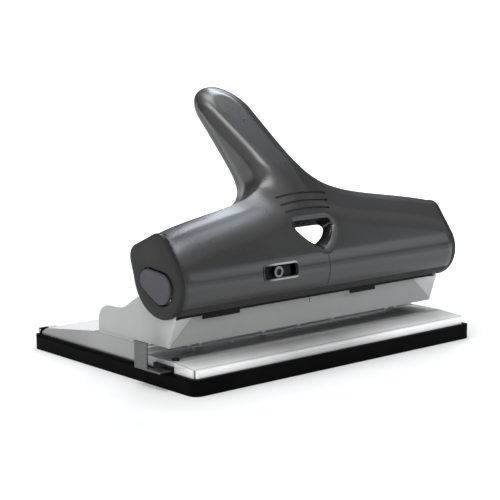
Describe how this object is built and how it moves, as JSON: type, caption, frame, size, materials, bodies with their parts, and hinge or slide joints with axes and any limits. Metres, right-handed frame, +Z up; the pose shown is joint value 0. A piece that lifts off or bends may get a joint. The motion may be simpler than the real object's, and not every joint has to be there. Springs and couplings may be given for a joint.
{
  "type": "hole punch",
  "caption": "Desktop lever hole punch with a selectable hole pattern, lever lock, sliding paper guide and a chip tray hinged under a polished base.",
  "frame": {"origin": "on the ground, under the middle of the chip tray", "axes": "+X along the machine to the right as seen from the paper side, +Y from the paper side to the back, +Z up"},
  "size_m": [0.3282, 0.225, 0.2253],
  "materials": {
    "tray_plastic": "satin black moulding",
    "foot_rubber": "matt",
    "polished_steel": "polished sheet",
    "frame_paint": "silver-grey lacquer",
    "plain_steel": "ground",
    "pin_steel": "ground and hardened",
    "spring_steel": "drawn wire",
    "black_steel": "black lacquer",
    "shell_paint": "satin dark grey",
    "cap_plastic": "satin dark grey",
    "button_plastic": "satin grey",
    "black_plastic": "smooth black",
    "bezel_plastic": "smooth grey",
    "bush_plastic": "natural"
  },
  "bodies": {
    "tray": {"chip_tray": "tray_plastic", "rubber_feet": "foot_rubber"},
    "base": {"base_plate": "polished_steel", "die_strip": "plain_steel", "die_rivets": "plain_steel", "punch_frame": "frame_paint", "frame_rivets": "plain_steel", "punch_guide": "plain_steel", "four_hole_springs": "spring_steel", "three_hole_springs": "spring_steel", "lever_axle": "plain_steel", "axle_clips": "spring_steel", "return_springs": "spring_steel", "guide_clip": "black_plastic", "tray_hinge_pins": "plain_steel"},
    "lever": {"lever_shell": "shell_paint", "end_cap_left": "cap_plastic", "end_cap_right": "cap_plastic", "lever_channel": "black_steel", "pivot_bushes": "bush_plastic", "shell_screws": "plain_steel", "lock_bezel": "bezel_plastic"},
    "selector": {"selector_bar": "plain_steel", "selector_button_left": "button_plastic", "selector_button_right": "button_plastic"},
    "lock": {"lock_slider": "black_plastic", "lock_bolt": "plain_steel"},
    "guide": {"paper_guide": "plain_steel"},
    "pin_outer_left": {"punch_outer_left": "pin_steel", "clip_outer_left": "spring_steel"},
    "pin_inner_left": {"punch_inner_left": "pin_steel", "clip_inner_left": "spring_steel"},
    "pin_inner_right": {"punch_inner_right": "pin_steel", "clip_inner_right": "spring_steel"},
    "pin_outer_right": {"punch_outer_right": "pin_steel", "clip_outer_right": "spring_steel"},
    "pin_three_left": {"punch_three_left": "pin_steel", "clip_three_left": "spring_steel"},
    "pin_three_centre": {"punch_three_centre": "pin_steel", "clip_three_centre": "spring_steel"},
    "pin_three_right": {"punch_three_right": "pin_steel", "clip_three_right": "spring_steel"}
  },
  "joints": [
    {"name": "tray_hinge", "type": "hinge", "parent": "tray", "child": "base", "pos_m": [0, 0.1099, 0.0155], "axis": [-1, 0, 0], "range_deg": [0, 60]},
    {"name": "lever_hinge", "type": "hinge", "parent": "base", "child": "lever", "pos_m": [0, -0.07, 0.071], "axis": [1, 0, 0], "range_deg": [-32, 0], "stiffness_Nm_per_rad": 3, "springref_deg": 28.65, "deforming": ["return_springs", "four_hole_springs"]},
    {"name": "selector_slide", "type": "slide", "parent": "lever", "child": "selector", "axis": [1, 0, 0], "range_m": [0, 0.0052]},
    {"name": "lock_slide", "type": "slide", "parent": "lever", "child": "lock", "axis": [-1, 0, 0], "range_m": [0, 0.007]},
    {"name": "guide_slide", "type": "slide", "parent": "base", "child": "guide", "axis": [-1, 0, 0], "range_m": [-0.006, 0.06]},
    {"name": "punch_slide_three_centre", "type": "slide", "parent": "base", "child": "pin_three_centre", "axis": [0, 0, -1], "range_m": [0, 0.0085], "stiffness_N_per_m": 300, "springref_m": -0.01, "deforming": ["three_hole_springs"]},
    {"name": "punch_slide_outer_left", "type": "slide", "parent": "base", "child": "pin_outer_left", "axis": [0, 0, -1], "range_m": [0, 0.0085]},
    {"name": "punch_slide_inner_left", "type": "slide", "parent": "base", "child": "pin_inner_left", "axis": [0, 0, -1], "range_m": [0, 0.0085]},
    {"name": "punch_slide_inner_right", "type": "slide", "parent": "base", "child": "pin_inner_right", "axis": [0, 0, -1], "range_m": [0, 0.0085]},
    {"name": "punch_slide_outer_right", "type": "slide", "parent": "base", "child": "pin_outer_right", "axis": [0, 0, -1], "range_m": [0, 0.0085]},
    {"name": "punch_slide_three_left", "type": "slide", "parent": "base", "child": "pin_three_left", "axis": [0, 0, -1], "range_m": [0, 0.0085]},
    {"name": "punch_slide_three_right", "type": "slide", "parent": "base", "child": "pin_three_right", "axis": [0, 0, -1], "range_m": [0, 0.0085]}
  ],
  "couplings": [
    {"joint": "punch_slide_outer_left", "follows": "lever_hinge", "m_per_rad": -0.015},
    {"joint": "punch_slide_inner_left", "follows": "lever_hinge", "m_per_rad": -0.015},
    {"joint": "punch_slide_inner_right", "follows": "lever_hinge", "m_per_rad": -0.015},
    {"joint": "punch_slide_outer_right", "follows": "lever_hinge", "m_per_rad": -0.015},
    {"joint": "punch_slide_three_left", "follows": "punch_slide_three_centre", "ratio": 1},
    {"joint": "punch_slide_three_right", "follows": "punch_slide_three_centre", "ratio": 1}
  ]
}
